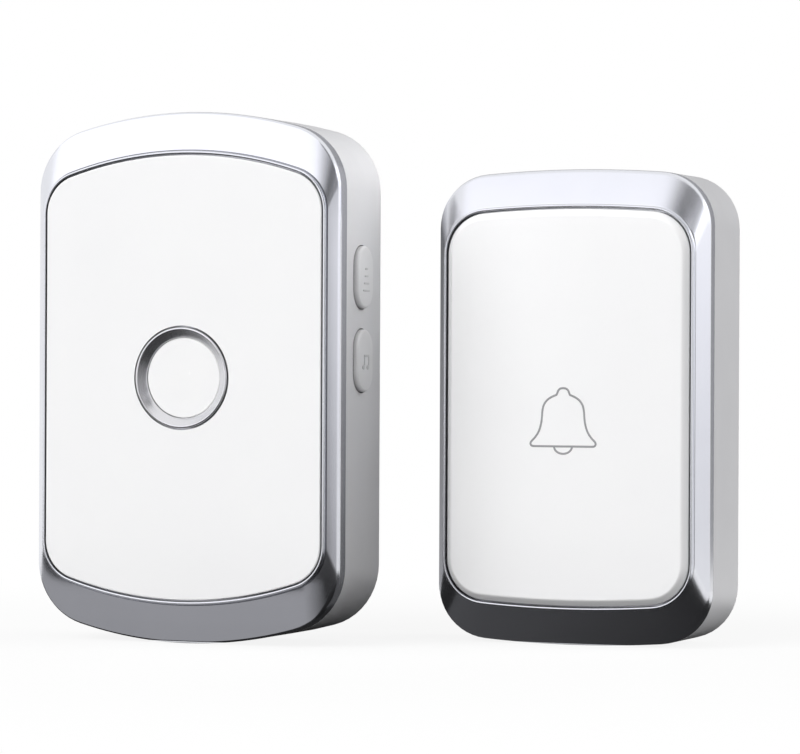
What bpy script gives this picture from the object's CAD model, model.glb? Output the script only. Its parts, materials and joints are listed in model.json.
import json
import math

import bmesh
import bpy
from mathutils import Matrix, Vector

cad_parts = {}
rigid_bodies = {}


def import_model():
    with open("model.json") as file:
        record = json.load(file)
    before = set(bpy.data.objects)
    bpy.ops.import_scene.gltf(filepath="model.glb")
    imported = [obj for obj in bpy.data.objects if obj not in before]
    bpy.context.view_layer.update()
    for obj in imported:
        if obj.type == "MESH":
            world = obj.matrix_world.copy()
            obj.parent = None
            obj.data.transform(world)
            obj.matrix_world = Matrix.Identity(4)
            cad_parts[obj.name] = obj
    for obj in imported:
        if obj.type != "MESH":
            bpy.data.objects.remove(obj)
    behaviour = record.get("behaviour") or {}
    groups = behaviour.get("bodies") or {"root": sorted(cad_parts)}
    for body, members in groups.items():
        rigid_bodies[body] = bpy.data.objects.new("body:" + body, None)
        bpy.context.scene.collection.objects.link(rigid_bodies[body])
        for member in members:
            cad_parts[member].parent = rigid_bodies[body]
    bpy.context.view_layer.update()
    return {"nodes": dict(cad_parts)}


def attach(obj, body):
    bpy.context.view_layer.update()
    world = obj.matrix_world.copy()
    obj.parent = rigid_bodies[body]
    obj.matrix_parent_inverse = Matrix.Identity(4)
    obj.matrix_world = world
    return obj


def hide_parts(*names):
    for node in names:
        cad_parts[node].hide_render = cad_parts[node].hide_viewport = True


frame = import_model()
nodes = frame["nodes"]
bpy.ops.object.select_all(action="DESELECT")
print("frame loaded,", len(nodes), "nodes")

mm = 0.001
weld = 0.002 * mm  # points nearer than this become one
flatStep = 0.03  # rings in one flat face differ by this much in height, so that bridging pairs them rightly

# each unit's back face centre, its shell and its front panel: width, height, bow radius, corner radius, all in mm
chime = {
    "place": (-30.675, -2.2, 49.0),
    "shell": (61.5, 98.0, 82.0, 12.0),
    "panel": (56.1, 82.0, 74.0, 7.3),
}
push = {
    "place": (34.925, 24.5, 43.9),
    "shell": (53.0, 87.8, 219.0, 10.0),
    "panel": (47.1, 73.0, 211.6, 7.6),
}


def at(unit, x, z, b):  # a unit's own x, z and height above its back, as a place in the frame
    px, py, pz = unit["place"]
    return Vector((px + x, py - b, pz + z)) * mm


def grown(shape, by):
    return (shape[0] + 2 * by, shape[1] + 2 * by, shape[2] + by, shape[3] + by)


def between(shapeA, shapeB, t):
    return tuple(a + (b - a) * t for a, b in zip(shapeA, shapeB))


# camera at the photograph's angle, about 0.7 m off with a long lens
shot = {
    "target": (0.00169, 0.0028, 0.0493),
    "distance": 0.67,
    "yaw": 22.43,
    "pitch": 0.156,
    "roll": 0.274,
    "lens": 161.0,
    "sensor": 36.0,
    "near": 0.01,
}


def aimCamera(s):
    yaw, pitch = math.radians(s["yaw"]), math.radians(s["pitch"])
    look = Vector((-math.sin(yaw) * math.cos(pitch), math.cos(yaw) * math.cos(pitch), -math.sin(pitch)))
    bpy.ops.object.camera_add(location=Vector(s["target"]) - look * s["distance"])
    camera = bpy.context.object
    camera.name = "photoCamera"
    camera.rotation_euler = look.to_track_quat("-Z", "Y").to_euler()
    camera.rotation_euler.rotate_axis("Z", math.radians(s["roll"]))
    camera.data.lens = s["lens"]
    camera.data.sensor_width = s["sensor"]
    camera.data.clip_start = s["near"]
    bpy.context.scene.camera = camera


aimCamera(shot)
bpy.context.scene.view_settings.view_transform = "Standard"
print("camera set")


# drawing in edit mode: a point, lines and arcs from it, and rings that are bridged
def startPiece(name):
    bpy.ops.object.select_all(action="DESELECT")
    bpy.ops.mesh.primitive_plane_add(size=0.1 * mm)
    piece = bpy.context.object
    piece.name = name
    piece.data.name = name
    bpy.ops.object.mode_set(mode="EDIT")
    bpy.ops.mesh.select_mode(type="VERT")
    bpy.ops.mesh.delete(type="VERT")
    return piece


def drawPoint(place):  # a tiny plane, merged at its centre
    bpy.ops.mesh.select_all(action="DESELECT")
    bpy.ops.mesh.primitive_plane_add(size=0.1 * mm, location=place)
    bpy.ops.mesh.merge(type="CENTER")


def drawLine(step):
    bpy.ops.mesh.extrude_vertices_move(TRANSFORM_OT_translate={"value": step})


def drawArc(centre, angle, steps, axis=(0, 1, 0)):  # seen from the front it runs counter-clockwise
    bpy.ops.mesh.spin(steps=steps, dupli=False, angle=angle, center=centre, axis=axis)


def closeRing():
    bpy.ops.mesh.select_linked()
    bpy.ops.mesh.remove_doubles(threshold=weld)


def drawOutline(unit, shape, b, cornerSteps=12, bowSteps=24):
    w, h, bowR, cornerR = shape
    bowZ = h / 2 - bowR
    cx = w / 2 - cornerR
    cz = bowZ + math.sqrt((bowR - cornerR) ** 2 - cx ** 2)
    tilt = math.asin(cx / (bowR - cornerR))
    drawPoint(at(unit, w / 2, -cz, b))
    for side in (1, -1):
        drawLine((0, 0, side * 2 * cz * mm))
        drawArc(at(unit, side * cx, side * cz, b), math.pi / 2 - tilt, cornerSteps)
        drawArc(at(unit, 0, side * bowZ, b), 2 * tilt, bowSteps)
        drawArc(at(unit, -side * cx, side * cz, b), math.pi / 2 - tilt, cornerSteps)
    closeRing()


def drawOval(unit, z, b, w, length, x, steps=20):  # a key's outline, seen from the right
    straight = (length - w) / 2
    drawPoint(at(unit, x, z - straight, b - w / 2))
    for side in (1, -1):
        drawLine((0, 0, side * 2 * straight * mm))
        drawArc(at(unit, x, z + side * straight, b), math.pi, steps, axis=(-1, 0, 0))
    closeRing()


def spotOf(co):  # a point's place in whole microns
    return tuple(round(c / mm * 1000) for c in co)


def markedSpots():
    sheet = bmesh.from_edit_mesh(bpy.context.object.data)
    return {spotOf(v.co) for v in sheet.verts if v.select}


def markSpots(spots):
    bpy.ops.mesh.select_all(action="DESELECT")
    mesh = bpy.context.object.data
    sheet = bmesh.from_edit_mesh(mesh)
    for v in sheet.verts:
        v.select_set(spotOf(v.co) in spots)
    sheet.select_flush_mode()
    bmesh.update_edit_mesh(mesh)


def bridgeRings(rings, loop=False):  # each ring is a drawing function and what it is given
    spots = []
    for draw, *given in rings:
        draw(*given)
        spots.append(markedSpots())
    followers = spots[1:] + spots[:1] if loop else spots[1:]
    for first, second in zip(spots, followers):
        markSpots(first | second)
        bpy.ops.mesh.bridge_edge_loops()
    if loop:
        return
    for end in (spots[0], spots[-1]):
        markSpots(end)
        bpy.ops.mesh.edge_face_add()


def roundedEdge(size, steps):  # how far in and how far down, from the side up to the face
    turns = [math.radians(90 * i / steps) for i in range(1, steps + 1)]
    return [(size * (1 - math.cos(turn)), size * (1 - math.sin(turn))) for turn in turns]


def addPost(unit, x, z, b0, b1, r, holeR=0.0, holeL=0.0, sides=32):  # round post, with a screw hole from its back
    bpy.ops.mesh.select_all(action="DESELECT")
    bpy.ops.mesh.primitive_cylinder_add(vertices=sides, radius=r * mm, depth=(b1 - b0) * mm,
                                        location=at(unit, x, z, (b0 + b1) / 2), rotation=(math.pi / 2, 0, 0))
    if not holeR:
        return
    mesh = bpy.context.object.data
    sheet = bmesh.from_edit_mesh(mesh)
    backs = [f for f in sheet.faces if f.select and f.normal.y > 0.9]
    bpy.ops.mesh.select_all(action="DESELECT")
    for f in backs:
        f.select_set(True)
    bmesh.update_edit_mesh(mesh)
    bpy.ops.mesh.inset(thickness=(r - holeR) * mm)
    bpy.ops.mesh.extrude_region_move(TRANSFORM_OT_translate={"value": (0, -holeL * mm, 0)})


def addBlock(unit, x0, x1, z0, z1, b0, b1, edge=0.15):
    bpy.ops.mesh.select_all(action="DESELECT")
    bpy.ops.mesh.primitive_cube_add(size=1.0, location=at(unit, (x0 + x1) / 2, (z0 + z1) / 2, (b0 + b1) / 2),
                                    scale=(abs(x1 - x0) * mm, abs(b1 - b0) * mm, abs(z1 - z0) * mm))
    bpy.ops.mesh.bevel(offset=edge * mm, segments=2, affect="EDGES")


def smoothOver(piece, angle):  # broad flats keep their own direction beside rounded edges
    bpy.ops.object.shade_smooth_by_angle(angle=math.radians(angle))
    piece.modifiers.new("even", "WEIGHTED_NORMAL").keep_sharp = True
    bpy.ops.object.modifier_apply(modifier="even")


def endPiece(piece, smooth=30.0):
    bpy.ops.mesh.select_all(action="SELECT")
    bpy.ops.mesh.normals_make_consistent(inside=False)
    bpy.ops.object.mode_set(mode="OBJECT")
    smoothOver(piece, smooth)
    return piece


def selectOnly(piece):
    bpy.ops.object.select_all(action="DESELECT")
    piece.select_set(True)
    bpy.context.view_layer.objects.active = piece


def roundTool(unit, x, z, b0, b1, r, sides=64):
    bpy.ops.object.select_all(action="DESELECT")
    bpy.ops.mesh.primitive_cylinder_add(vertices=sides, radius=r * mm, depth=(b1 - b0) * mm,
                                        location=at(unit, x, z, (b0 + b1) / 2), rotation=(math.pi / 2, 0, 0))
    return bpy.context.object


def blockTool(unit, x, z, halfW, halfL, b0, b1):
    bpy.ops.object.select_all(action="DESELECT")
    bpy.ops.mesh.primitive_cube_add(size=1.0, location=at(unit, x, z, (b0 + b1) / 2),
                                    scale=(2 * halfW * mm, (b1 - b0) * mm, 2 * halfL * mm))
    return bpy.context.object


def cutAway(piece, tool):  # takes the tool's shape out of the piece
    selectOnly(piece)
    cut = piece.modifiers.new("cut", "BOOLEAN")
    cut.operation = "DIFFERENCE"
    cut.solver = "EXACT"
    cut.object = tool
    bpy.ops.object.modifier_apply(modifier="cut")
    bpy.data.objects.remove(tool)


def copyPiece(piece, name, shift):
    selectOnly(piece)
    bpy.ops.object.duplicate(linked=False)
    twin = bpy.context.object
    twin.name = name
    twin.data.name = name
    bpy.ops.object.mode_set(mode="EDIT")
    bpy.ops.mesh.select_all(action="SELECT")
    bpy.ops.transform.translate(value=shift)
    bpy.ops.object.mode_set(mode="OBJECT")
    return twin


def drawPath(points, closed=False):
    drawPoint(points[0])
    for a, b in zip(points, points[1:]):
        drawLine(Vector(b) - Vector(a))
    if closed:
        drawLine(Vector(points[0]) - Vector(points[-1]))
    closeRing()


def wireFromPaths(piece, radius, rounding=3):  # drawn lines become round wire
    bpy.ops.object.mode_set(mode="OBJECT")
    bpy.ops.object.convert(target="CURVE")
    piece.data.bevel_depth = radius
    piece.data.bevel_resolution = rounding
    piece.data.use_fill_caps = True
    bpy.ops.object.convert(target="MESH")
    bpy.ops.object.mode_set(mode="EDIT")
    bpy.ops.mesh.select_mode(type="VERT")
    bpy.ops.mesh.select_all(action="SELECT")
    bpy.ops.mesh.remove_doubles(threshold=weld)


def settle(piece, body, slot, finish, *replaced):
    piece.data.materials.clear()
    piece.data.materials.append(finish)
    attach(piece, body)
    if replaced:
        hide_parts(*replaced)


# shader groups that several finishes share
def addNode(tree, kind, values=None, **settings):
    node = tree.nodes.new(kind)
    for key, value in settings.items():
        setattr(node, key, value)
    for key, value in (values or {}).items():
        node.inputs[key].default_value = value
    return node


def startGroup(name, inputs, outputs):
    group = bpy.data.node_groups.new(name, "ShaderNodeTree")
    for label, kind, value in inputs:
        socket = group.interface.new_socket(label, in_out="INPUT", socket_type=kind)
        if value is not None:
            socket.default_value = value
    for label, kind in outputs:
        group.interface.new_socket(label, in_out="OUTPUT", socket_type=kind)
    return group, group.nodes.new("NodeGroupInput"), group.nodes.new("NodeGroupOutput")


def makeGrainGroup():  # fine moulded grain with a slow waviness under it
    group, into, out = startGroup(
        "mouldedGrain",
        [("Place", "NodeSocketVector", None), ("Fine", "NodeSocketFloat", 4000.0),
         ("Wavy", "NodeSocketFloat", 120.0), ("Share", "NodeSocketFloat", 0.3)],
        [("Height", "NodeSocketFloat"), ("Blotch", "NodeSocketFloat")])
    fine = addNode(group, "ShaderNodeTexNoise", {"Detail": 3.0, "Roughness": 0.6})
    wavy = addNode(group, "ShaderNodeTexNoise", {"Detail": 2.0, "Roughness": 0.45})
    mix = addNode(group, "ShaderNodeMix", data_type="FLOAT")
    link = group.links.new
    link(into.outputs["Place"], fine.inputs["Vector"])
    link(into.outputs["Place"], wavy.inputs["Vector"])
    link(into.outputs["Fine"], fine.inputs["Scale"])
    link(into.outputs["Wavy"], wavy.inputs["Scale"])
    link(into.outputs["Share"], mix.inputs["Factor"])
    link(fine.outputs["Fac"], mix.inputs["A"])
    link(wavy.outputs["Fac"], mix.inputs["B"])
    link(mix.outputs["Result"], out.inputs["Height"])
    link(wavy.outputs["Fac"], out.inputs["Blotch"])
    return group


def makeSmudgeGroup():  # roughness that handling leaves uneven, with faint wiped streaks
    group, into, out = startGroup(
        "handledSheen",
        [("Place", "NodeSocketVector", None), ("Low", "NodeSocketFloat", 0.1),
         ("High", "NodeSocketFloat", 0.2), ("Scale", "NodeSocketFloat", 45.0)],
        [("Roughness", "NodeSocketFloat"), ("Mask", "NodeSocketFloat")])
    patches = addNode(group, "ShaderNodeTexNoise", {"Detail": 4.0, "Roughness": 0.55, "Distortion": 0.6})
    streaks = addNode(group, "ShaderNodeTexNoise", {"Detail": 5.0, "Roughness": 0.7})
    stretch = addNode(group, "ShaderNodeMapping", {"Scale": (9.0, 9.0, 0.7), "Rotation": (0.0, 0.3, 0.0)})
    both = addNode(group, "ShaderNodeMix", {"Factor": 0.35}, data_type="FLOAT")
    spread = addNode(group, "ShaderNodeMapRange", {"From Min": 0.3, "From Max": 0.7})
    link = group.links.new
    link(into.outputs["Place"], patches.inputs["Vector"])
    link(into.outputs["Place"], stretch.inputs["Vector"])
    link(stretch.outputs["Vector"], streaks.inputs["Vector"])
    link(into.outputs["Scale"], patches.inputs["Scale"])
    link(into.outputs["Scale"], streaks.inputs["Scale"])
    link(patches.outputs["Fac"], both.inputs["A"])
    link(streaks.outputs["Fac"], both.inputs["B"])
    link(both.outputs["Result"], spread.inputs["Value"])
    link(into.outputs["Low"], spread.inputs["To Min"])
    link(into.outputs["High"], spread.inputs["To Max"])
    link(spread.outputs["Result"], out.inputs["Roughness"])
    link(both.outputs["Result"], out.inputs["Mask"])
    return group


def makeCreaseGroup():  # narrow gaps and inner corners gather shade
    group, into, out = startGroup(
        "creaseShade",
        [("Colour", "NodeSocketColor", None), ("Reach", "NodeSocketFloat", 0.5 * mm),
         ("Depth", "NodeSocketFloat", 0.9)],
        [("Colour", "NodeSocketColor")])
    nearby = addNode(group, "ShaderNodeAmbientOcclusion", samples=8)
    shut = addNode(group, "ShaderNodeMapRange", {"From Min": 0.15, "From Max": 0.65, "To Max": 0.0})
    shade = addNode(group, "ShaderNodeMix", {7: (0.015, 0.015, 0.018, 1.0)}, data_type="RGBA")
    link = group.links.new
    link(into.outputs["Reach"], nearby.inputs["Distance"])
    link(nearby.outputs["AO"], shut.inputs["Value"])
    link(into.outputs["Depth"], shut.inputs["To Min"])
    link(shut.outputs["Result"], shade.inputs["Factor"])
    link(into.outputs["Colour"], shade.inputs[6])
    link(shade.outputs[2], out.inputs["Colour"])
    return group


grainGroup = makeGrainGroup()
smudgeGroup = makeSmudgeGroup()
creaseGroup = makeCreaseGroup()
print("shader groups ready")


def startFinish(name, metal=0.0):
    finish = bpy.data.materials.new(name)
    finish.use_nodes = True
    tree = finish.node_tree
    shader = tree.nodes["Principled BSDF"]
    shader.inputs["Metallic"].default_value = metal
    place = addNode(tree, "ShaderNodeTexCoord")
    return finish, tree, shader, place.outputs["Object"]


def addSheen(tree, shader, place, rough, patch):
    hand = addNode(tree, "ShaderNodeGroup", {"Low": rough[0], "High": rough[1], "Scale": patch}, node_tree=smudgeGroup)
    tree.links.new(place, hand.inputs["Place"])
    tree.links.new(hand.outputs["Roughness"], shader.inputs["Roughness"])


def addRelief(tree, shader, height, bump, rise):
    relief = addNode(tree, "ShaderNodeBump", {"Strength": bump, "Distance": rise * mm})
    tree.links.new(height, relief.inputs["Height"])
    tree.links.new(relief.outputs["Normal"], shader.inputs["Normal"])


def addTint(tree, shader, tone, light, dark, crease):
    link = tree.links.new
    tint = addNode(tree, "ShaderNodeMix", {6: (*light, 1.0), 7: (*dark, 1.0)}, data_type="RGBA")
    link(tone, tint.inputs["Factor"])
    colour = tint.outputs[2]
    if crease:
        shade = addNode(tree, "ShaderNodeGroup", {"Reach": crease * mm}, node_tree=creaseGroup)
        link(colour, shade.inputs["Colour"])
        colour = shade.outputs["Colour"]
    link(colour, shader.inputs["Base Color"])


def mouldedFinish(name, light, dark, rough, patch, bump, fine=4000.0, wavy=120.0, share=0.3, crease=0.0, metal=0.0):
    finish, tree, shader, place = startFinish(name, metal)
    skin = addNode(tree, "ShaderNodeGroup", {"Fine": fine, "Wavy": wavy, "Share": share}, node_tree=grainGroup)
    tree.links.new(place, skin.inputs["Place"])
    addTint(tree, shader, skin.outputs["Blotch"], light, dark, crease)
    addSheen(tree, shader, place, rough, patch)
    addRelief(tree, shader, skin.outputs["Height"], bump, 0.02)
    return finish


# fine rings about the viewing direction
def turnedFinish(name, light, dark, rough, patch, bump, centre, rings, crease=0.0, metal=0.0):
    finish, tree, shader, place = startFinish(name, metal)
    link = tree.links.new
    centred = addNode(tree, "ShaderNodeMapping", {"Location": (-centre.x, 0.0, -centre.z), "Scale": (1.0, 0.0, 1.0)})
    radius = addNode(tree, "ShaderNodeVectorMath", operation="LENGTH")
    lines = addNode(tree, "ShaderNodeTexNoise", {"Scale": rings, "Detail": 3.0, "Roughness": 0.65},
                    noise_dimensions="1D")
    link(place, centred.inputs["Vector"])
    link(centred.outputs["Vector"], radius.inputs[0])
    link(radius.outputs["Value"], lines.inputs["W"])
    addTint(tree, shader, lines.outputs["Fac"], light, dark, crease)
    addSheen(tree, shader, place, rough, patch)
    addRelief(tree, shader, lines.outputs["Fac"], bump, 0.02)
    return finish


boardLook = {
    "mask": (0.012, 0.1, 0.045, 1.0), "track": (0.03, 0.17, 0.075, 1.0), "tin": (0.62, 0.6, 0.56, 1.0),
    "tracks": 230.0, "trackEdge": (0.05, 0.09), "pads": 420.0, "padEdge": (0.16, 0.2),
    "rough": (0.32, 0.22), "bump": 0.4, "rise": 0.03,
}


def boardFinish(name, s):  # green mask with raised tracks and tinned pads
    finish, tree, shader, place = startFinish(name)
    link = tree.links.new
    flat = addNode(tree, "ShaderNodeMapping", {"Scale": (1.0, 0.05, 1.0)})
    tracks = addNode(tree, "ShaderNodeTexVoronoi", {"Scale": s["tracks"]}, feature="DISTANCE_TO_EDGE")
    pads = addNode(tree, "ShaderNodeTexVoronoi", {"Scale": s["pads"]}, feature="F1")
    onTrack, onPad = (
        addNode(tree, "ShaderNodeMapRange", {"From Min": near, "From Max": far, "To Min": 1.0, "To Max": 0.0})
        for near, far in (s["trackEdge"], s["padEdge"]))
    mask = addNode(tree, "ShaderNodeMix", {6: s["mask"], 7: s["track"]}, data_type="RGBA")
    tinned = addNode(tree, "ShaderNodeMix", {7: s["tin"]}, data_type="RGBA")
    rough = addNode(tree, "ShaderNodeMapRange", {"To Min": s["rough"][0], "To Max": s["rough"][1]})
    link(place, flat.inputs["Vector"])
    link(flat.outputs["Vector"], tracks.inputs["Vector"])
    link(flat.outputs["Vector"], pads.inputs["Vector"])
    link(tracks.outputs["Distance"], onTrack.inputs["Value"])
    link(pads.outputs["Distance"], onPad.inputs["Value"])
    link(onTrack.outputs["Result"], mask.inputs["Factor"])
    link(mask.outputs[2], tinned.inputs[6])
    link(onPad.outputs["Result"], tinned.inputs["Factor"])
    link(tinned.outputs[2], shader.inputs["Base Color"])
    link(onPad.outputs["Result"], rough.inputs["Value"])
    link(rough.outputs["Result"], shader.inputs["Roughness"])
    link(onPad.outputs["Result"], shader.inputs["Metallic"])
    addRelief(tree, shader, onTrack.outputs["Result"], s["bump"], s["rise"])
    return finish


cellLook = {
    "bare": (0.6, 0.6, 0.6), "stripe": (0.5, 0.52, 0.55), "sleeve": (0.02, 0.035, 0.08), "middle": (0.05, 0.1, 0.2),
    "bands": [(0.0, "bare"), (0.03, "sleeve"), (0.3, "stripe"), (0.33, "middle"), (0.7, "stripe"), (0.73, "sleeve"),
              (0.965, "bare")],
    "centre": 0.48, "reach": 0.465, "rough": (0.18, 0.34), "patch": 200.0,
}


def cellFinish(name, s, axis, span):  # printed sleeve with plain bands, bare metal at both ends
    finish, tree, shader, place = startFinish(name)
    link = tree.links.new
    parts = addNode(tree, "ShaderNodeSeparateXYZ")
    along = addNode(tree, "ShaderNodeMapRange", {"From Min": span[0], "From Max": span[1]})
    bands = addNode(tree, "ShaderNodeValToRGB")
    bands.color_ramp.interpolation = "CONSTANT"
    while len(bands.color_ramp.elements) < len(s["bands"]):
        bands.color_ramp.elements.new(0.5)
    for element, (spot, colour) in zip(bands.color_ramp.elements, s["bands"]):
        element.position = spot
        element.color = (*s[colour], 1.0)
    fromCentre = addNode(tree, "ShaderNodeMath", {1: s["centre"]}, operation="SUBTRACT")
    away = addNode(tree, "ShaderNodeMath", operation="ABSOLUTE")
    ends = addNode(tree, "ShaderNodeMath", {1: s["reach"]}, operation="GREATER_THAN")
    link(place, parts.inputs["Vector"])
    link(parts.outputs[axis], along.inputs["Value"])
    link(along.outputs["Result"], bands.inputs["Fac"])
    link(along.outputs["Result"], fromCentre.inputs[0])
    link(fromCentre.outputs["Value"], away.inputs[0])
    link(away.outputs["Value"], ends.inputs[0])
    link(bands.outputs["Color"], shader.inputs["Base Color"])
    link(ends.outputs["Value"], shader.inputs["Metallic"])
    addSheen(tree, shader, place, s["rough"], s["patch"])
    return finish


finishes = {
    "panel": mouldedFinish("whiteGlossPanel", light=(0.93, 0.93, 0.935), dark=(0.9, 0.9, 0.91), rough=(0.08, 0.16),
                           patch=40.0, bump=0.03, fine=900.0, wavy=60.0, share=0.5, crease=0.5),
    "bezel": mouldedFinish("satinSilverPlate", light=(0.79, 0.80, 0.845), dark=(0.74, 0.75, 0.795), rough=(0.17, 0.26),
                           patch=60.0, bump=0.05, fine=5200.0, wavy=90.0, share=0.2, crease=0.4, metal=1.0),
    "case": mouldedFinish("paleGreyShell", light=(0.62, 0.62, 0.635), dark=(0.57, 0.57, 0.585), rough=(0.34, 0.44),
                          patch=50.0, bump=0.25, fine=3600.0, wavy=110.0, share=0.25, crease=0.6),
    "key": mouldedFinish("paleGreyKey", light=(0.66, 0.66, 0.67), dark=(0.62, 0.62, 0.63), rough=(0.3, 0.4),
                         patch=80.0, bump=0.2, fine=3600.0, wavy=150.0, share=0.25, crease=0.6),
    "mark": mouldedFinish("keyMark", light=(0.52, 0.52, 0.53), dark=(0.48, 0.48, 0.49), rough=(0.4, 0.5),
                          patch=80.0, bump=0.15),
    "ink": mouldedFinish("signInk", light=(0.33, 0.33, 0.34), dark=(0.28, 0.28, 0.29), rough=(0.3, 0.42),
                         patch=200.0, bump=0.1, wavy=400.0),
    "lens": mouldedFinish("milkyLens", light=(0.92, 0.92, 0.92), dark=(0.89, 0.89, 0.9), rough=(0.22, 0.3),
                          patch=90.0, bump=0.05),
    "ring": turnedFinish("ringPlate", light=(0.80, 0.80, 0.82), dark=(0.72, 0.72, 0.75), rough=(0.18, 0.28),
                         patch=120.0, bump=0.05, centre=at(chime, 0, 0, 0), rings=9000.0, crease=0.4, metal=1.0),
    "steel": mouldedFinish("plainSteel", light=(0.62, 0.63, 0.64), dark=(0.5, 0.51, 0.52), rough=(0.25, 0.42),
                           patch=300.0, bump=0.1, wavy=500.0, metal=1.0),
    "magnet": mouldedFinish("nickelMagnet", light=(0.42, 0.42, 0.42), dark=(0.3, 0.3, 0.31), rough=(0.3, 0.45),
                            patch=200.0, bump=0.15, wavy=300.0, metal=1.0),
    "copper": mouldedFinish("enamelledCopper", light=(0.72, 0.36, 0.16), dark=(0.6, 0.28, 0.12), rough=(0.18, 0.3),
                            patch=400.0, bump=0.06, wavy=600.0, metal=1.0),
    "resin": mouldedFinish("blackResin", light=(0.035, 0.035, 0.037), dark=(0.022, 0.022, 0.024), rough=(0.42, 0.6),
                           patch=200.0, bump=0.3, wavy=250.0),
    "rubber": mouldedFinish("sealRubber", light=(0.035, 0.035, 0.036), dark=(0.02, 0.02, 0.021), rough=(0.6, 0.8),
                            patch=150.0, bump=0.4, wavy=300.0),
    "led": mouldedFinish("ledBody", light=(0.9, 0.88, 0.7), dark=(0.85, 0.8, 0.4), rough=(0.2, 0.3),
                         patch=500.0, bump=0.05, wavy=700.0),
    "cone": turnedFinish("coneFilm", light=(0.05, 0.05, 0.055), dark=(0.03, 0.03, 0.032), rough=(0.3, 0.45),
                         patch=120.0, bump=0.5, centre=at(chime, 0, 28.75, 0), rings=2200.0),
    "board": boardFinish("solderedBoard", boardLook),
    "cellUp": cellFinish("cellSleeveUp", cellLook, 2, (0.006725, 0.057)),
    "cellAcross": cellFinish("cellSleeveAcross", cellLook, 0, (0.0229, 0.0515)),
}
print("finishes ready")

# bezels: silver frames with a straight rim, rounded edge, slope and raised lip, and the web inside
bezelShape = {  # what both have in common
    "wall": 1.8, "soft": 0.1, "straight": 0.05, "turn": 60.0, "turnSteps": 7, "edgeIn": 0.4, "edgeRise": 1.1,
    "crown": 0.025, "slope": (0.06, 0.2, 0.35, 0.5, 0.65, 0.8, 0.94), "ledge": 0.25,
    "lipW": 0.5, "lipRound": 0.2, "lipSteps": 6,
    "tongueGap": 0.15, "tongueT": 1.0, "tongueReach": 1.3, "tongueRoot": 0.3, "tongueStep": 0.02,
    "bossSize": (3.2, 1.25, 6.0), "postSize": (2.2, 0.95, 3.0), "sink": 0.4, "cutPast": 0.4,
}
chimeBezel = {
    **bezelShape,
    "parting": 16.7, "rim": 2.2, "foot": 21.3, "top": 22.0, "gap": 0.2, "lipFoot": [(0.15, -0.12), (0.0, -0.15)],
    "webBack": 18.4, "webFront": 20.0, "bossBack": 10.5, "boss": (22.05, 36.5), "postBack": 15.9,
    "post": (20.25, -20.8, 27.8), "ringHole": 8.3,
}
pushBezel = {
    **bezelShape,
    "parting": 16.2, "rim": 1.8, "foot": 21.5, "top": 22.2, "gap": 0.3,
    "lipFoot": [(0.13, 0.03), (0.04, 0.12), (0.0, 0.28)],
    "webBack": 16.6, "webFront": 18.2, "bossBack": 6.1, "boss": (19.75, 36.3), "postBack": 14.9,
    "post": (15.3, -28.8, 28.8), "window": 8.0, "legs": (21.0, 20.0), "legSlot": (1.0, 3.2),
}


def bezelRings(unit, s):
    shell, opening = unit["shell"], grown(unit["panel"], s["gap"])
    parting, edge = s["parting"], s["parting"] + s["rim"]
    within = grown(shell, -s["wall"])
    rings = [(within, s["webBack"]), (within, parting + flatStep), (grown(shell, -s["soft"]), parting),
             (shell, parting + s["soft"]), (shell, edge - s["straight"])]
    full = math.radians(s["turn"])
    for i in range(1, s["turnSteps"] + 1):  # rounded edge between the rim and the slope
        turn = full * i / s["turnSteps"]
        rings.append((grown(shell, -s["edgeIn"] * (1 - math.cos(turn)) / (1 - math.cos(full))),
                      edge + s["edgeRise"] * math.sin(turn) / math.sin(full)))
    outer, inner = grown(shell, -s["edgeIn"]), grown(opening, s["lipW"] + s["ledge"])
    brow = edge + s["edgeRise"]
    for t in s["slope"]:  # a little crowned
        rings.append((between(outer, inner, t), brow + (s["foot"] - brow) * t + s["crown"] * 4 * t * (1 - t)))
    rings.append((inner, s["foot"]))
    for out, rise in s["lipFoot"]:  # a groove round the chime's lip, a soft fillet round the push unit's
        rings.append((grown(opening, s["lipW"] + out), s["foot"] + rise))
    lipBase = s["top"] - s["lipRound"]
    for i in range(s["lipSteps"] + 1):  # round top of the lip
        turn = math.pi * i / s["lipSteps"]
        rings.append((grown(opening, s["lipW"] / 2 * (1 + math.cos(turn))), lipBase + s["lipRound"] * math.sin(turn)))
    rings.append((opening, s["webFront"]))
    return [(drawOutline, unit, shape, b) for shape, b in rings]


def addTongue(unit, s):  # lines the bezel up inside its case
    outer = -s["wall"] - s["tongueGap"]
    inner = outer - s["tongueT"]
    root, tip = s["webBack"] + s["tongueRoot"], s["parting"] - s["tongueReach"]
    soft, innerTip = s["soft"], tip + s["tongueStep"]
    rings = [(outer, root), (outer, tip + soft), (outer - soft, tip), (inner + soft, innerTip),
             (inner, innerTip + soft), (inner, root + flatStep)]
    bridgeRings([(drawOutline, unit, grown(unit["shell"], by), b) for by, b in rings], loop=True)


def addBezelPosts(unit, s):
    x, z = s["boss"]
    root = s["webBack"] + s["sink"]
    for sx in (-1, 1):
        for sz in (-1, 1):
            addPost(unit, sx * x, sz * z, s["bossBack"], root, *s["bossSize"])
        for postZ in s["post"][1:]:
            addPost(unit, sx * s["post"][0], postZ, s["postBack"], root, *s["postSize"])


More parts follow.
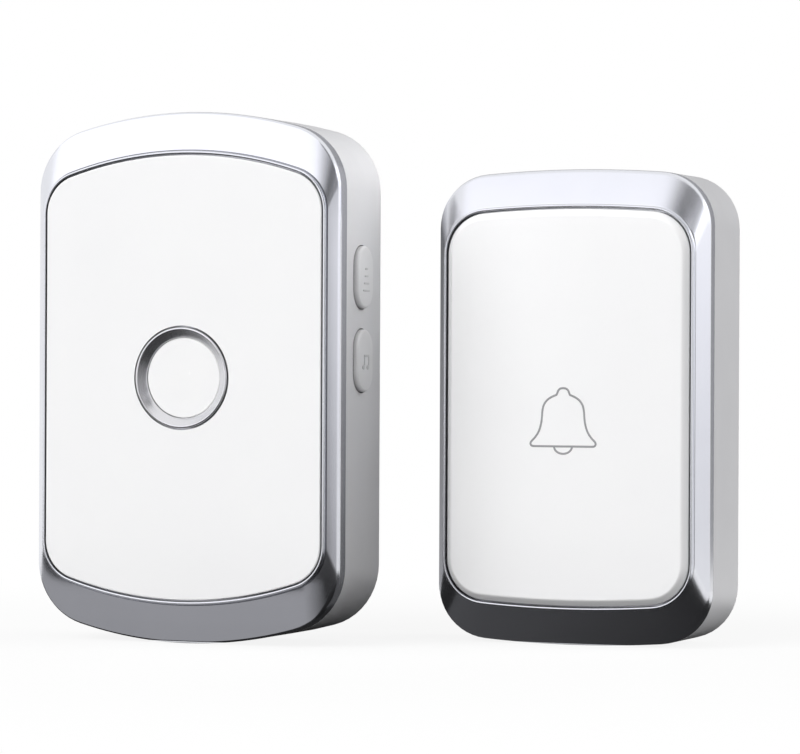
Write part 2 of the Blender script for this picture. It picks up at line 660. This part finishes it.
def makeBezel(name, unit, s):
    piece = startPiece(name)
    bridgeRings(bezelRings(unit, s))
    endPiece(piece)
    through = (s["webBack"] - s["cutPast"], s["webFront"] + s["cutPast"])
    if "ringHole" in s:
        cutAway(piece, roundTool(unit, 0, 0, *through, s["ringHole"]))
    if "window" in s:  # for the switch and the panel's four legs
        half = s["window"] / 2
        x, z = s["legs"]
        holes = [(0, 0, half, half)]
        holes += [(sx * x, sz * z, *s["legSlot"]) for sx in (-1, 1) for sz in (-1, 1)]
        for hole in holes:
            cutAway(piece, blockTool(unit, *hole, *through))
    bpy.ops.object.mode_set(mode="EDIT")
    addTongue(unit, s)
    addBezelPosts(unit, s)
    return endPiece(piece)


chimeFrame = makeBezel("chimeBezel", chime, chimeBezel)
settle(chimeFrame, "housings", "bezel_silver", finishes["bezel"], "chime_bezel")
pushFrame = makeBezel("pushBezel", push, pushBezel)
settle(pushFrame, "housings", "bezel_silver", finishes["bezel"], "push_bezel")
print("bezels done")

# front panels
chimePanel = {
    "back": 20.0, "front": 22.0, "gap": 0.08, "soft": 0.1, "edge": 0.3, "edgeSteps": 5,
    "hole": 9.62, "holeSides": 96, "cutPast": 0.5, "smooth": 30.0,
}
pushPanel = {
    "skirt": 19.2, "skirtT": 1.4, "inside": 21.2, "front": 23.0, "soft": 0.1, "straight": 0.05,
    "edge": [(0.0, 1.4), (0.03, 1.22), (0.12, 1.05), (0.36, 0.8), (0.62, 0.53), (0.88, 0.27), (1.05, 0.12),
             (1.22, 0.03), (1.4, 0.0)],
    "legs": (21.0, 20.0), "legHalf": (0.8, 3.0), "legEnd": 15.3, "hook": (15.7, 16.5), "hookOut": 1.5,
    "ribs": 10.0, "ribHalf": 0.6, "ribDeep": 1.0, "foot": (19.4, 3.0), "sink": 0.4,
}


def makeChimePanel(s):
    piece = startPiece("chimePanel")
    shape = grown(chime["panel"], -s["gap"])
    rings = [(-s["soft"], s["back"]), (0.0, s["back"] + s["soft"]), (0.0, s["front"] - s["edge"])]
    rings += [(-inset, s["front"] - drop) for inset, drop in roundedEdge(s["edge"], s["edgeSteps"])]
    bridgeRings([(drawOutline, chime, grown(shape, by), b) for by, b in rings])
    endPiece(piece)
    cutAway(piece, roundTool(chime, 0, 0, s["back"] - s["cutPast"], s["front"] + s["cutPast"], s["hole"],
                             sides=s["holeSides"]))
    smoothOver(piece, s["smooth"])
    return piece


def makePushPanel(s):
    piece = startPiece("pushPanel")
    rings = [(-s["skirtT"], s["inside"]), (-s["skirtT"], s["skirt"] + flatStep), (-s["soft"], s["skirt"]),
             (0.0, s["skirt"] + s["soft"]), (0.0, s["front"] - s["edge"][0][1] - s["straight"])]
    rings += [(-inset, s["front"] - drop) for inset, drop in s["edge"]]  # sloped edge with soft ends
    bridgeRings([(drawOutline, push, grown(push["panel"], by), b) for by, b in rings])
    x, z = s["legs"]
    halfT, halfL = s["legHalf"]
    root = s["inside"] + s["sink"]
    for sx in (-1, 1):  # hooked legs, ribs and the foot on the switch
        for sz in (-1, 1):
            ends = (sz * z - halfL, sz * z + halfL)
            addBlock(push, sx * x - halfT, sx * x + halfT, *ends, s["legEnd"], root)
            addBlock(push, sx * x, sx * (x + s["hookOut"]), *ends, *s["hook"])
        rib = sx * s["ribs"]
        addBlock(push, rib - s["ribHalf"], rib + s["ribHalf"], -z, z, s["inside"] - s["ribDeep"], root)
    footEnd, footR = s["foot"]
    addPost(push, 0, 0, footEnd, root, footR)
    return endPiece(piece)


chimePlate = makeChimePanel(chimePanel)
settle(chimePlate, "housings", "panel_white", finishes["panel"], "chime_panel")
pushPlate = makePushPanel(pushPanel)
settle(pushPlate, "push_plate", "panel_white", finishes["panel"], "push_panel")
print("panels done")

# indicator: plated ring with a dished inner wall, and the milky lens at its foot; radius and height of each profile
indicatorRing = {
    "steps": 128, "smooth": 35.0,
    "profile": [(7.46, 20.0), (9.3, 20.0), (9.3, 22.0), (9.28, 22.12), (9.23, 22.21), (9.15, 22.27), (9.06, 22.3),
                (8.97, 22.3), (8.9, 22.28), (8.83, 22.22), (8.4, 21.87), (8.0, 21.55), (7.56, 21.19), (7.5, 21.12),
                (7.47, 21.05), (7.46, 20.95), (7.46, 20.0)],
}
indicatorLens = {
    "steps": 96, "smooth": 30.0,
    "profile": [(0.0, 18.8), (8.15, 18.8), (8.2, 18.85), (8.2, 20.0), (7.38, 20.0), (7.38, 20.78), (7.35, 20.85),
                (7.27, 20.9), (7.13, 20.91), (4.0, 20.95), (0.0, 20.97)],
}


def turnPiece(name, s):  # turned about the viewing direction
    piece = startPiece(name)
    profile = s["profile"]
    drawPoint(at(chime, profile[0][0], 0, profile[0][1]))
    for (r0, b0), (r1, b1) in zip(profile, profile[1:]):
        drawLine(((r1 - r0) * mm, -(b1 - b0) * mm, 0))
    bpy.ops.mesh.select_all(action="SELECT")
    drawArc(at(chime, 0, 0, 0), 2 * math.pi, s["steps"])
    bpy.ops.mesh.select_all(action="SELECT")
    bpy.ops.mesh.remove_doubles(threshold=weld)
    return endPiece(piece, s["smooth"])


plateRing = turnPiece("indicatorRing", indicatorRing)
settle(plateRing, "housings", "ring_silver", finishes["ring"], "indicator_ring")
lensDisc = turnPiece("indicatorLens", indicatorLens)
settle(lensDisc, "housings", "lens_white", finishes["lens"], "indicator_lens")
print("indicator done")

# keys in the chime's side, the same cap twice, and their marks
sideKey = {
    "w": 7.2, "length": 11.5, "b": 9.8, "top": 31.65, "edge": 0.5, "edgeSteps": 6,
    "dome": 0.08, "domeRings": [(2.2, 0.6), (4.0, 1.0)],  # how much smaller, and its share of the rise
    "flange": (27.85, 28.85), "flangeOut": 2.0, "foot": 26.85, "footR": 1.6, "footL": 1.4, "footSides": 24,
}
keyPlaces = {"volume": 18.6, "melody": 3.3}
keyFace = sideKey["top"] + sideKey["dome"]


def makeKey(name, z, s):
    piece = startPiece(name)
    top = s["top"]
    back, front = s["flange"]
    rings = [(s["flangeOut"], back), (s["flangeOut"], front - flatStep), (0.0, front), (0.0, top - s["edge"])]
    rings += [(-2 * inset, top - drop) for inset, drop in roundedEdge(s["edge"], s["edgeSteps"])]
    rings += [(-less, top + s["dome"] * share) for less, share in s["domeRings"]]
    bridgeRings([(drawOval, chime, z, s["b"], s["w"] + more, s["length"] + more, x) for more, x in rings])
    bpy.ops.mesh.select_all(action="DESELECT")
    bpy.ops.mesh.primitive_cylinder_add(vertices=s["footSides"], radius=s["footR"] * mm, depth=s["footL"] * mm,
                                        rotation=(0, math.pi / 2, 0),
                                        location=at(chime, s["foot"] + s["footL"] / 2, z, s["b"]))
    return endPiece(piece)


volumeCap = makeKey("volumeKey", keyPlaces["volume"], sideKey)
melodyCap = copyPiece(volumeCap, "melodyKey", (0, 0, (keyPlaces["melody"] - keyPlaces["volume"]) * mm))
settle(volumeCap, "volume_key", "case_grey", finishes["key"], "volume_button")
settle(melodyCap, "melody_key", "case_grey", finishes["key"], "melody_button")

volumeMark = {
    "widths": (1.2, 1.6, 2.4, 3.0), "pitch": 1.32, "thick": 0.36, "low": 0.45, "rise": 0.1, "sink": 0.1, "edge": 0.08,
}
melodyMark = {
    "head": 0.55, "headSides": 24, "headFlat": 0.78, "headEdge": 0.05, "apart": 2.0, "aside": 0.25, "stem": 2.3,
    "line": 0.26, "beam": 0.42, "low": 1.2, "rise": 0.1, "sink": 0.1, "edge": 0.06,
}


def addStroke(s, z0, z1, b0, b1):
    addBlock(chime, keyFace - s["sink"], keyFace + s["rise"], z0, z1, b0, b1, edge=s["edge"])


def makeVolumeMark(s):
    piece = startPiece("volumeMark")
    middle, b = keyPlaces["volume"] - s["low"], sideKey["b"]
    for i, width in enumerate(s["widths"]):
        z = middle + ((len(s["widths"]) - 1) / 2 - i) * s["pitch"]
        addStroke(s, z - s["thick"] / 2, z + s["thick"] / 2, b - width / 2, b + width / 2)
    return endPiece(piece)


def addNoteHead(s, z, b):
    bpy.ops.mesh.select_all(action="DESELECT")
    bpy.ops.mesh.primitive_cylinder_add(vertices=s["headSides"], radius=s["head"] * mm,
                                        depth=(s["rise"] + s["sink"]) * mm, rotation=(0, math.pi / 2, 0),
                                        location=at(chime, keyFace + (s["rise"] - s["sink"]) / 2, z, b))
    bpy.ops.transform.resize(value=(1.0, 1.0, s["headFlat"]), center_override=at(chime, keyFace, z, b))
    bpy.ops.mesh.bevel(offset=s["headEdge"] * mm, segments=2, affect="EDGES")


def makeMelodyMark(s):
    piece = startPiece("melodyMark")
    foot, b = keyPlaces["melody"] - s["low"], sideKey["b"] + s["aside"]
    top, halfLine = foot + s["stem"], s["line"] / 2
    for side in (1, -1):
        headB = b + side * s["apart"] / 2
        stemB = headB - s["head"] + halfLine
        addNoteHead(s, foot, headB)
        addStroke(s, foot, top, stemB - halfLine, stemB + halfLine)
    beamB = b - s["head"] + halfLine
    reach = s["apart"] / 2 + halfLine
    addStroke(s, top - s["beam"], top, beamB - reach, beamB + reach)
    return endPiece(piece)


volumeBars = makeVolumeMark(volumeMark)
settle(volumeBars, "volume_key", "case_grey", finishes["mark"])
melodyNote = makeMelodyMark(melodyMark)
settle(melodyNote, "melody_key", "case_grey", finishes["mark"])
print("keys done")

# bell sign on the push panel, a thin printed line
bellSign = {
    "centre": -0.3, "base": -7.15, "line": 0.2, "rise": 0.05, "smooth": 60.0,
    "side": [(5.6, 0.0), (6.1, 0.08), (6.34, 0.42), (6.2, 0.85), (5.53, 1.55), (4.95, 2.35), (4.55, 3.2), (4.26, 4.3),
             (4.12, 5.4), (4.05, 6.4), (3.8, 7.5), (3.2, 8.4), (2.34, 9.02), (1.3, 9.45)],
    "knob": [(1.3, 9.45), (1.12, 9.9), (0.95, 10.28), (0.55, 10.6), (0.0, 10.7)],
    "clapper": (1.75, 1.36), "clapperSteps": 20,
}


def bend(a, b, c, d, t):  # between b and c, as a bent ruler would lie
    return 0.5 * (2 * b + (c - a) * t + (2 * a - 5 * b + 4 * c - d) * t * t + (3 * b - a - 3 * c + d) * t ** 3)


def smoothPath(points, parts=5):
    ends = [points[0]] + list(points) + [points[-1]]
    path = [points[0]]
    for corners in zip(ends, ends[1:], ends[2:], ends[3:]):
        for i in range(1, parts + 1):
            path.append(tuple(bend(*along, i / parts) for along in zip(*corners)))
    return path


def makeBell(s):
    piece = startPiece("bellSign")
    front = pushPanel["front"]
    half = smoothPath(s["side"]) + smoothPath(s["knob"])[1:]
    ring = half + [(-x, z) for x, z in reversed(half[:-1])]
    w, d = s["clapper"]
    turns = [math.pi * i / s["clapperSteps"] for i in range(s["clapperSteps"] + 1)]
    bow = [(-w * math.cos(turn), -d * math.sin(turn)) for turn in turns]
    for line, closed in ((ring, True), (bow, False)):
        drawPath([at(push, s["centre"] + x, s["base"] + z, front) for x, z in line], closed)
    wireFromPaths(piece, s["line"] * mm)
    bpy.ops.mesh.select_all(action="SELECT")
    bpy.ops.transform.resize(value=(1.0, s["rise"] / s["line"], 1.0), center_override=at(push, 0, 0, front))
    return endPiece(piece, s["smooth"])


bell = makeBell(bellSign)
settle(bell, "push_plate", "panel_white", finishes["ink"])
print("bell sign done")

# contact springs and the antenna coil, as round wire
contactSpring = {
    "wire": 0.3, "length": 3.8, "turns": 3, "steps": 24, "foot": 0.35, "wide": 0.3, "narrow": 0.16, "smooth": 60.0,
}
chimeBay = {
    "length": 49.85, "middle": -17.575, "depth": 7.45, "columns": (-11.3, 0.0, 11.3), "contact": 0.4, "cell": 10.5,
}
pushBay = {"end": -16.525, "row": -13.0, "depth": 7.95, "cell": 10.3}
antenna = {
    "wire": 0.4, "r": 2.0, "length": 14.0, "turns": 7, "steps": 24, "place": (-20.85, -14.0, 11.85), "rounding": 4,
    "smooth": 60.0,
}


def coilPoints(r0, r1, s):
    points = []
    for i in range(s["turns"] * s["steps"] + 1):
        t = i / (s["turns"] * s["steps"])
        r, a = r0 + (r1 - r0) * t, 2 * math.pi * s["turns"] * t
        points.append((r * math.cos(a), r * math.sin(a), s["length"] * t))
    return points


def springPoints(cell, s):  # most of a flat turn at the wide end, then the cone
    wide, narrow = cell * s["wide"], cell * s["narrow"]
    turns = [2 * math.pi * i / s["steps"] for i in range(-s["steps"] * 3 // 4, 0)]
    flat = [(wide * math.cos(a), wide * math.sin(a), s["foot"]) for a in turns]
    return flat + [(x, y, z + s["foot"]) for x, y, z in coilPoints(wide, narrow, s)]


def makeChimeSprings(s, bay):
    piece = startPiece("chimeSprings")
    for i, x0 in enumerate(bay["columns"]):
        side = -1 if i % 2 else 1  # neighbouring cells point opposite ways
        drawPath([at(chime, x0 + x, bay["middle"] + side * (z + bay["contact"] - bay["length"] / 2),
                     bay["depth"] - side * y) for x, y, z in springPoints(bay["cell"], s)])
    wireFromPaths(piece, s["wire"] * mm)
    return endPiece(piece, s["smooth"])


def makePushSpring(s, bay):
    piece = startPiece("pushSpring")
    drawPath([at(push, bay["end"] + z, bay["row"] - x, bay["depth"] - y) for x, y, z in springPoints(bay["cell"], s)])
    wireFromPaths(piece, s["wire"] * mm)
    return endPiece(piece, s["smooth"])


def makeAntenna(s):
    piece = startPiece("antennaCoil")
    x0, z0, b0 = s["place"]
    drawPath([at(chime, x0 + x, z0 + z, b0 - y) for x, y, z in coilPoints(s["r"], s["r"], s)])
    wireFromPaths(piece, s["wire"] * mm, s["rounding"])
    return endPiece(piece, s["smooth"])


settle(makeChimeSprings(contactSpring, chimeBay), "housings", "steel", finishes["steel"], "chime_springs")
settle(makePushSpring(contactSpring, pushBay), "housings", "steel", finishes["steel"], "push_spring")
settle(makeAntenna(antenna), "housings", "copper", finishes["copper"], "antenna_coil")
print("springs and antenna done")

# moulded back halves, lid and cover: the frame's own forms with softened edges
softening = {"segments": 2, "flat": 0.6, "corner": 50.0, "smooth": 32.0}
moulded = {
    "chimeCase": {"node": "chime_case", "body": "housings", "edge": 0.18},
    "batteryLid": {"node": "battery_lid", "body": "bay_lid", "edge": 0.12},
    "pushCase": {"node": "push_case", "body": "housings", "edge": 0.18},
    "backCover": {"node": "back_cover", "body": "rear_cover", "edge": 0.15},
}


def softenedCopy(name, node, edge, s):
    bpy.ops.object.select_all(action="DESELECT")
    bpy.ops.mesh.primitive_cube_add(size=mm)
    piece = bpy.context.object
    piece.name = name
    piece.data = nodes[node].data.copy()
    piece.data.name = name
    bpy.ops.object.mode_set(mode="EDIT")
    bpy.ops.mesh.select_all(action="SELECT")
    bpy.ops.mesh.remove_doubles(threshold=weld)
    bpy.ops.mesh.dissolve_limited(angle_limit=math.radians(s["flat"]))
    bpy.ops.object.mode_set(mode="OBJECT")
    soft = piece.modifiers.new("soft", "BEVEL")
    soft.width = edge * mm
    soft.segments = s["segments"]
    soft.limit_method = "ANGLE"
    soft.angle_limit = math.radians(s["corner"])
    soft.use_clamp_overlap = True
    bpy.ops.object.modifier_apply(modifier="soft")
    smoothOver(piece, s["smooth"])
    return piece


for shellName, s in moulded.items():
    shell = softenedCopy(shellName, s["node"], s["edge"], softening)
    settle(shell, s["body"], "case_grey", finishes["case"], s["node"])
print("back halves done")

# finishes of the parts inside
inside = {
    "board": ["chime_board", "push_board"],
    "resin": ["sound_chip", "encoder_chip", "capacitor", "volume_switch_body", "melody_switch_body",
              "push_switch_body"],
    "steel": ["radio_module", "speaker_frame", "chime_contacts", "push_contacts", "chime_case_screws",
              "chime_board_screws", "push_case_screws", "push_board_screws", "resonator", "volume_switch_plunger",
              "melody_switch_plunger", "push_switch_plunger"],
    "magnet": ["speaker_magnet"],
    "cone": ["speaker_cone"],
    "led": ["indicator_leds"],
    "cellUp": ["chime_cells"],
    "cellAcross": ["push_cell"],
    "rubber": ["cover_seal"],
}
for finishName, nodeNames in inside.items():
    for nodeName in nodeNames:
        nodes[nodeName].data.materials.clear()
        nodes[nodeName].data.materials.append(finishes[finishName])
print("inner parts finished")

# plain floor, soft boxes, a white room, and cards, dark and bright, that only the gloss sees
room = {"floor": 6.0, "bounce": 0.05, "paper": 0.9, "ambient": 0.3, "shadow": 0.12, "fade": (0.06, 0.2)}
lamps = {  # place, size, aim, power, spread in degrees
    "frontLeft": ((-0.8, -1.5, 1.1), (1.4, 1.4), (0.0, 0.0, 0.05), 31.4, 180.0),
    "frontLow": ((0.1, -1.4, 0.05), (1.0, 0.5), (0.0, 0.0, 0.03), 7.0, 180.0),
    "frontRight": ((0.9, -0.7, 0.25), (0.6, 0.6), (0.02, 0.0, 0.05), 2.5, 180.0),
    "rightFar": ((0.85, 0.45, 0.3), (0.5, 0.5), (0.05, 0.01, 0.05), 6.0, 180.0),
    "rightNear": ((0.058, 0.0025, 0.12), (0.02, 0.02), (0.0, -0.0105, 0.07), 0.0064, 85.0),
}
cardTint = (0.97, 0.97, 1.0, 1.0)
cards = {  # a corner, the way across, the way up, and the grey at the foot and at the top
    "frontLeft": ((-0.95, -0.65, 0.15), (0.95, -0.4, 0.0), (0.0, 0.0, 1.2), (1.5, 1.15)),
    "right": ((0.35, -0.2, 0.0), (0.0, 0.44, 0.0), (0.0, 0.0, 0.3), (0.75, 2.2)),
    "chimeFloor": ((-0.11, -0.0225, 0.0004), (0.107, 0.0, 0.0), (0.0, -0.0075, 0.0), (0.35, 0.35)),
    "chimeUnder": ((-0.11, 0.03, 0.0004), (0.11, 0.0, 0.0), (0.0, -0.0525, 0.0), (0.02, 0.02)),
    "chimeKerb": ((-0.11, -0.03, 0.0), (0.102, 0.0, 0.0), (0.0, 0.0, 0.0078), (0.36, 0.36)),
    "kerbEnd": ((-0.008, -0.03, 0.0), (0.0, 0.0, 0.0095), (0.008, 0.0, 0.0), (0.36, 0.0)),
    "frontFloor": ((-0.25, -0.03, 0.0002), (0.246, 0.0, 0.0), (0.0, -0.3, 0.0), (0.05, 0.12)),
    "cornerFloor": ((-0.003, -0.012, 0.0006), (0.03, 0.0, 0.0), (0.0, -0.1, 0.0), (0.01, 0.06)),
    "pushFloor": ((0.09, 0.05, 0.0003), (0.0, -0.2, 0.0), (-0.094, 0.0, 0.0), (0.0, 0.087)),
    "ringRight": ((0.05, -0.129, 0.0), (0.026, 0.041, 0.0), (0.0, 0.0, 0.1), (0.1, 0.4)),
    "chimeRight": ((0.0695, -0.0985, 0.0), (0.019, 0.03, 0.0), (0.0, 0.0, 0.12), (0.2, 0.95)),
    "chimeSide": ((0.0885, -0.0685, 0.0), (0.0095, 0.015, 0.0), (0.0, 0.0, 0.12), (0.38, 1.25)),
    "chimeCorner": ((0.0686, -0.098, 0.0856), (0.033, 0.052, 0.0), (0.0, 0.0, 0.0074), (1.2, 0.14)),
    "cornerTop": ((0.0686, -0.098, 0.093), (0.033, 0.052, 0.0), (0.0, 0.0, 0.0185), (0.14, 0.12)),
    "chimeGap": ((0.0018, -0.0185, 0.0), (0.0, 0.006, 0.0), (0.0, 0.0, 0.09), (0.05, 0.5)),
    "pushLeft": ((-0.05, 0.002, 0.0), (0.0, 0.2, 0.0), (0.0, 0.0, 0.082), (0.36, 0.16)),
    "pushCorner": ((-0.05, 0.002, 0.082), (0.0, 0.2, 0.0), (0.0, 0.0, 0.026), (0.16, 1.0)),
    "behind": ((-0.2, 0.25, 0.0), (0.45, 0.0, 0.0), (0.0, 0.0, 0.3), (0.32, 0.42)),
    "upperMid": ((-0.03, -0.551, 0.12), (0.0, 0.0, 0.5), (0.19, 0.0766, 0.0), (1.0, 0.13)),
    "upperRight": ((0.16, -0.4748, 0.12), (0.0, 0.0, 0.46), (0.16, 0.0645, 0.0), (0.13, 0.2)),
    "upperGlow": ((0.2, -0.4547, 0.396), (0.32, 0.129, -0.0928), (0.01025, 0.00413, 0.04106), (1.7, 0.05)),
    "upperEnd": ((0.32, -0.4103, 0.12), (0.0, 0.0, 0.46), (0.28, 0.1128, 0.0), (0.2, 0.95)),
}


def addSeen(tree):  # 1 for what the camera, gloss and glass see, 0 for the light on the set
    rays = addNode(tree, "ShaderNodeLightPath")
    direct = addNode(tree, "ShaderNodeMath", operation="MAXIMUM")
    seen = addNode(tree, "ShaderNodeMath", operation="MAXIMUM")
    link = tree.links.new
    link(rays.outputs["Is Camera Ray"], direct.inputs[0])
    link(rays.outputs["Is Glossy Ray"], direct.inputs[1])
    link(direct.outputs["Value"], seen.inputs[0])
    link(rays.outputs["Is Transmission Ray"], seen.inputs[1])
    return seen.outputs["Value"]


def startStage(name):  # an empty material tree for the floor or a card
    cover = bpy.data.materials.new(name)
    cover.use_nodes = True
    cover.node_tree.nodes.clear()
    return cover, cover.node_tree


def addFloor(s):
    bpy.ops.object.select_all(action="DESELECT")
    bpy.ops.mesh.primitive_plane_add(size=s["floor"])
    floor = bpy.context.object
    floor.name = "studioFloor"
    paper, tree = startStage("whitePaper")
    seen = addSeen(tree)
    place = addNode(tree, "ShaderNodeTexCoord")
    away = addNode(tree, "ShaderNodeVectorMath", operation="LENGTH")
    white = addNode(tree, "ShaderNodeMapRange", {"From Min": s["fade"][0], "From Max": s["fade"][1],
                                                 "To Min": 1.0 - s["shadow"], "To Max": 1.0},
                    interpolation_type="SMOOTHSTEP")
    share = addNode(tree, "ShaderNodeMath", operation="MULTIPLY")
    tone = addNode(tree, "ShaderNodeMapRange", {"To Min": s["bounce"], "To Max": s["paper"]})
    matte = addNode(tree, "ShaderNodeBsdfDiffuse")
    glow = addNode(tree, "ShaderNodeEmission", {"Color": (1.0, 1.0, 1.0, 1.0), "Strength": 1.0})
    mix = addNode(tree, "ShaderNodeMixShader")
    out = addNode(tree, "ShaderNodeOutputMaterial")
    link = tree.links.new
    link(place.outputs["Object"], away.inputs[0])
    link(away.outputs["Value"], white.inputs["Value"])
    link(seen, share.inputs[0])
    link(white.outputs["Result"], share.inputs[1])
    link(share.outputs["Value"], mix.inputs["Fac"])
    link(seen, tone.inputs["Value"])
    link(tone.outputs["Result"], matte.inputs["Color"])
    link(matte.outputs["BSDF"], mix.inputs[1])
    link(glow.outputs["Emission"], mix.inputs[2])
    link(mix.outputs["Shader"], out.inputs["Surface"])
    floor.data.materials.append(paper)


def lightRoom(s):
    world = bpy.data.worlds.new("whiteRoom")
    bpy.context.scene.world = world
    world.use_nodes = True
    tree = world.node_tree
    tree.nodes.clear()
    level = addNode(tree, "ShaderNodeMapRange", {"To Min": s["ambient"], "To Max": 1.0})
    glow = addNode(tree, "ShaderNodeBackground", {"Color": (1.0, 1.0, 1.0, 1.0)})
    out = addNode(tree, "ShaderNodeOutputWorld")
    link = tree.links.new
    link(addSeen(tree), level.inputs["Value"])
    link(level.outputs["Result"], glow.inputs["Strength"])
    link(glow.outputs["Background"], out.inputs["Surface"])


def addLamp(name, place, size, aim, power, spread):
    bpy.ops.object.light_add(type="AREA", location=place)
    lamp = bpy.context.object
    lamp.name = name
    lamp.rotation_euler = (Vector(aim) - Vector(place)).to_track_quat("-Z", "Y").to_euler()
    lamp.data.shape = "RECTANGLE"
    lamp.data.size, lamp.data.size_y = size
    lamp.data.energy = power
    lamp.data.spread = math.radians(spread)
    lamp.visible_camera = False
    lamp.visible_glossy = False


def addCard(name, foot, across, up, greys):  # a flag beside the set: no shadow, not seen, only mirrored
    card = startPiece(name)
    drawPoint(foot)
    drawLine(across)
    bpy.ops.mesh.select_all(action="SELECT")
    bpy.ops.mesh.extrude_region_move(TRANSFORM_OT_translate={"value": up})
    bpy.ops.object.mode_set(mode="OBJECT")
    felt, tree = startStage(name)
    place = addNode(tree, "ShaderNodeTexCoord")
    fromFoot = addNode(tree, "ShaderNodeVectorMath", {1: foot}, operation="SUBTRACT")
    along = addNode(tree, "ShaderNodeVectorMath", {1: up / up.length_squared}, operation="DOT_PRODUCT")
    grey = addNode(tree, "ShaderNodeMapRange", {"To Min": greys[0], "To Max": greys[1]})
    glow = addNode(tree, "ShaderNodeEmission", {"Color": cardTint})
    out = addNode(tree, "ShaderNodeOutputMaterial")
    link = tree.links.new
    link(place.outputs["Object"], fromFoot.inputs[0])
    link(fromFoot.outputs["Vector"], along.inputs[0])
    link(along.outputs["Value"], grey.inputs["Value"])
    link(grey.outputs["Result"], glow.inputs["Strength"])
    link(glow.outputs["Emission"], out.inputs["Surface"])
    card.data.materials.append(felt)
    card.visible_camera = False
    card.visible_diffuse = False
    card.visible_transmission = False
    card.visible_shadow = False


addFloor(room)
lightRoom(room)
for lampName, settings in lamps.items():
    addLamp(lampName + "Lamp", *settings)
for cardName, (foot, across, up, greys) in cards.items():
    addCard(cardName + "Card", Vector(foot), Vector(across), Vector(up), greys)
print("studio ready")
